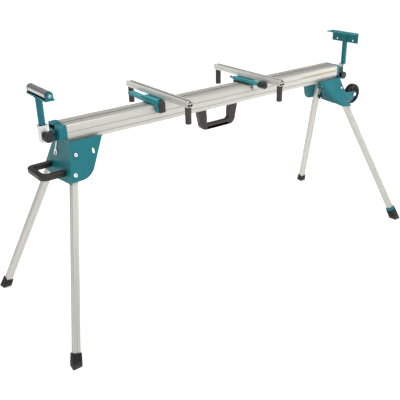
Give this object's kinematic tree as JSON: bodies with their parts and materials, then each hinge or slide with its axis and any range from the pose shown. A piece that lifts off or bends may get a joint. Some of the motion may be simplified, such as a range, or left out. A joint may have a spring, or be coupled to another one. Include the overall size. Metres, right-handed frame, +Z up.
{
  "type": "folding mitre saw stand",
  "caption": "Folding work stand: aluminium beam on splayed folding legs, sliding saw bars with clamps, extending roller and stop supports, wheels and carry handles.",
  "frame": {"origin": "on the floor, under the middle of the beam", "axes": "+X along the beam to the wheel and stop end, +Y to the back, +Z up"},
  "size_m": [1.9062, 0.7206, 0.936],
  "materials": {
    "aluminium_profile": "satin anodised, brushed along the extrusion",
    "teal_paint": "smooth powder coat",
    "dark_teal_paint": "smooth powder coat",
    "bright_steel": "turned and brushed",
    "zinc_plate": "bright zinc plate",
    "black_plastic": "fine moulded grain",
    "black_rubber": "matt rubber",
    "black_steel": "black oxide",
    "tyre": "solid rubber tyre on a moulded hub"
  },
  "bodies": {
    "frame": {"beam": "aluminium_profile", "end_cap_left": "teal_paint", "end_cap_right": "teal_paint", "leg_bracket_left": "teal_paint", "leg_bracket_right": "teal_paint", "pivot_bolts": "zinc_plate", "centre_handle": "black_plastic", "end_handle": "black_plastic", "end_clip": "zinc_plate", "wheel_arms": "teal_paint", "wheel_bolts": "zinc_plate"},
    "leg_left_front": {"leg_lf_tube": "aluminium_profile", "leg_lf_plug": "black_plastic", "foot_lf": "black_rubber"},
    "leg_left_back": {"leg_lb_tube": "aluminium_profile", "leg_lb_plug": "black_plastic", "foot_lb": "black_rubber"},
    "leg_right_front": {"leg_rf_tube": "aluminium_profile", "leg_rf_plug": "black_plastic", "foot_collar_rf": "teal_paint"},
    "leg_right_back": {"leg_rb_tube": "aluminium_profile", "leg_rb_plug": "black_plastic", "foot_rb": "black_rubber"},
    "pin_left_front": {"lock_pin_lf": "black_plastic"},
    "pin_left_back": {"lock_pin_lb": "black_plastic"},
    "pin_right_front": {"lock_pin_rf": "black_plastic"},
    "pin_right_back": {"lock_pin_rb": "black_plastic"},
    "levelling_foot": {"foot_rf": "black_rubber"},
    "arm_left": {"ext_arm_left": "dark_teal_paint", "sleeve_left": "bright_steel"},
    "arm_right": {"ext_arm_right": "dark_teal_paint", "sleeve_right": "bright_steel"},
    "knob_left": {"sleeve_knob_left": "black_plastic"},
    "knob_right": {"sleeve_knob_right": "black_plastic"},
    "lock_left": {"ext_lock_left": "black_plastic"},
    "lock_right": {"ext_lock_right": "black_plastic"},
    "support_left": {"post_left": "teal_paint", "cradle_left": "teal_paint", "roller_axle": "zinc_plate"},
    "roller": {"roller_tube": "bright_steel", "roller_ends": "black_plastic"},
    "support_right": {"post_right": "teal_paint", "stop_plate": "teal_paint"},
    "bar_left": {"bar_1": "aluminium_profile", "bar_1_saddle": "aluminium_profile", "bar_1_feet": "black_rubber", "clamp_1_base": "teal_paint", "clamp_1_pad": "black_rubber"},
    "clamp_lever": {"clamp_1_lever": "teal_paint"},
    "bar_right": {"bar_2": "aluminium_profile", "bar_2_saddle": "aluminium_profile", "bar_2_feet": "black_rubber", "clamp_2_channel": "teal_paint"},
    "clamp_screw": {"clamp_2_screw": "black_plastic"},
    "clamp_jaw": {"clamp_2_jaw": "black_steel"},
    "wheel_front": {"wheel_front": "tyre"},
    "wheel_rear": {"wheel_rear": "tyre"}
  },
  "joints": [
    {"name": "left_front_leg_fold", "type": "hinge", "parent": "frame", "child": "leg_left_front", "pos_m": [-0.724, -0.06431, 0.67938], "axis": [0, -0.9265, 0.3762], "range_deg": [0, 105.83]},
    {"name": "left_front_lock_pin", "type": "slide", "parent": "leg_left_front", "child": "pin_left_front", "axis": [0, -0.9265, 0.3762], "range_m": [0, 0.004]},
    {"name": "left_back_leg_fold", "type": "hinge", "parent": "frame", "child": "leg_left_back", "pos_m": [-0.724, 0.06431, 0.67938], "axis": [0, -0.9265, -0.3762], "range_deg": [0, 105.83]},
    {"name": "left_back_lock_pin", "type": "slide", "parent": "leg_left_back", "child": "pin_left_back", "axis": [0, 0.9265, 0.3762], "range_m": [0, 0.0022]},
    {"name": "right_front_leg_fold", "type": "hinge", "parent": "frame", "child": "leg_right_front", "pos_m": [0.724, -0.06431, 0.67938], "axis": [0, 0.9265, -0.3762], "range_deg": [0, 102.2]},
    {"name": "right_front_lock_pin", "type": "slide", "parent": "leg_right_front", "child": "pin_right_front", "axis": [0, -0.9265, 0.3762], "range_m": [0, 0.0022]},
    {"name": "right_back_leg_fold", "type": "hinge", "parent": "frame", "child": "leg_right_back", "pos_m": [0.724, 0.06431, 0.67938], "axis": [0, 0.9265, 0.3762], "range_deg": [0, 102.2]},
    {"name": "right_back_lock_pin", "type": "slide", "parent": "leg_right_back", "child": "pin_right_back", "axis": [0, 0.9265, 0.3762], "range_m": [0, 0.004]},
    {"name": "levelling_foot_adjust", "type": "slide", "parent": "leg_right_front", "child": "levelling_foot", "axis": [0.2728, -0.362, -0.8914], "range_m": [0, 0.025]},
    {"name": "left_extension", "type": "slide", "parent": "frame", "child": "arm_left", "axis": [-1, 0, 0], "range_m": [0, 0.45]},
    {"name": "right_extension", "type": "slide", "parent": "frame", "child": "arm_right", "axis": [1, 0, 0], "range_m": [0, 0.45]},
    {"name": "left_support_height", "type": "slide", "parent": "arm_left", "child": "support_left", "axis": [0, 0, 1], "range_m": [-0.085, 0.04]},
    {"name": "right_support_height", "type": "slide", "parent": "arm_right", "child": "support_right", "axis": [0, 0, 1], "range_m": [-0.085, 0.04]},
    {"name": "roller_spin", "type": "hinge", "parent": "support_left", "child": "roller", "pos_m": [-0.795, 0, 0.918], "axis": [0, 1, 0], "continuous": true},
    {"name": "left_sleeve_knob", "type": "hinge", "parent": "arm_left", "child": "knob_left", "pos_m": [-0.797, 0, 0.755], "axis": [0, 1, 0], "continuous": true},
    {"name": "right_sleeve_knob", "type": "hinge", "parent": "arm_right", "child": "knob_right", "pos_m": [0.795, 0, 0.729], "axis": [0, 1, 0], "continuous": true},
    {"name": "left_extension_lock", "type": "hinge", "parent": "frame", "child": "lock_left", "pos_m": [-0.65, 0, 0.748], "axis": [0, 1, 0], "continuous": true},
    {"name": "right_extension_lock", "type": "hinge", "parent": "frame", "child": "lock_right", "pos_m": [0.65, 0, 0.748], "axis": [0, 1, 0], "continuous": true},
    {"name": "left_bar_slide", "type": "slide", "parent": "frame", "child": "bar_left", "axis": [1, 0, 0], "range_m": [-0.34, 0.15]},
    {"name": "right_bar_slide", "type": "slide", "parent": "frame", "child": "bar_right", "axis": [1, 0, 0], "range_m": [-0.15, 0.46]},
    {"name": "clamp_lever_lift", "type": "hinge", "parent": "bar_left", "child": "clamp_lever", "pos_m": [-0.303, -0.055, 0.79], "axis": [1, 0, 0], "range_deg": [0, 35]},
    {"name": "clamp_screw_turn", "type": "hinge", "parent": "bar_right", "child": "clamp_screw", "pos_m": [0.152, 0, 0.804], "axis": [0, 1, 0], "range_deg": [0, 1440]},
    {"name": "clamp_jaw_open", "type": "slide", "parent": "bar_right", "child": "clamp_jaw", "axis": [0, 1, 0], "range_m": [0, 0.006]},
    {"name": "front_wheel_spin", "type": "hinge", "parent": "frame", "child": "wheel_front", "pos_m": [0.825, -0.068, 0.637], "axis": [0, 1, 0], "continuous": true},
    {"name": "rear_wheel_spin", "type": "hinge", "parent": "frame", "child": "wheel_rear", "pos_m": [0.825, 0.068, 0.637], "axis": [0, 1, 0], "continuous": true}
  ],
  "couplings": [
    {"joint": "clamp_screw_turn", "follows": "clamp_jaw_open", "rad_per_m": 4188.8}
  ]
}
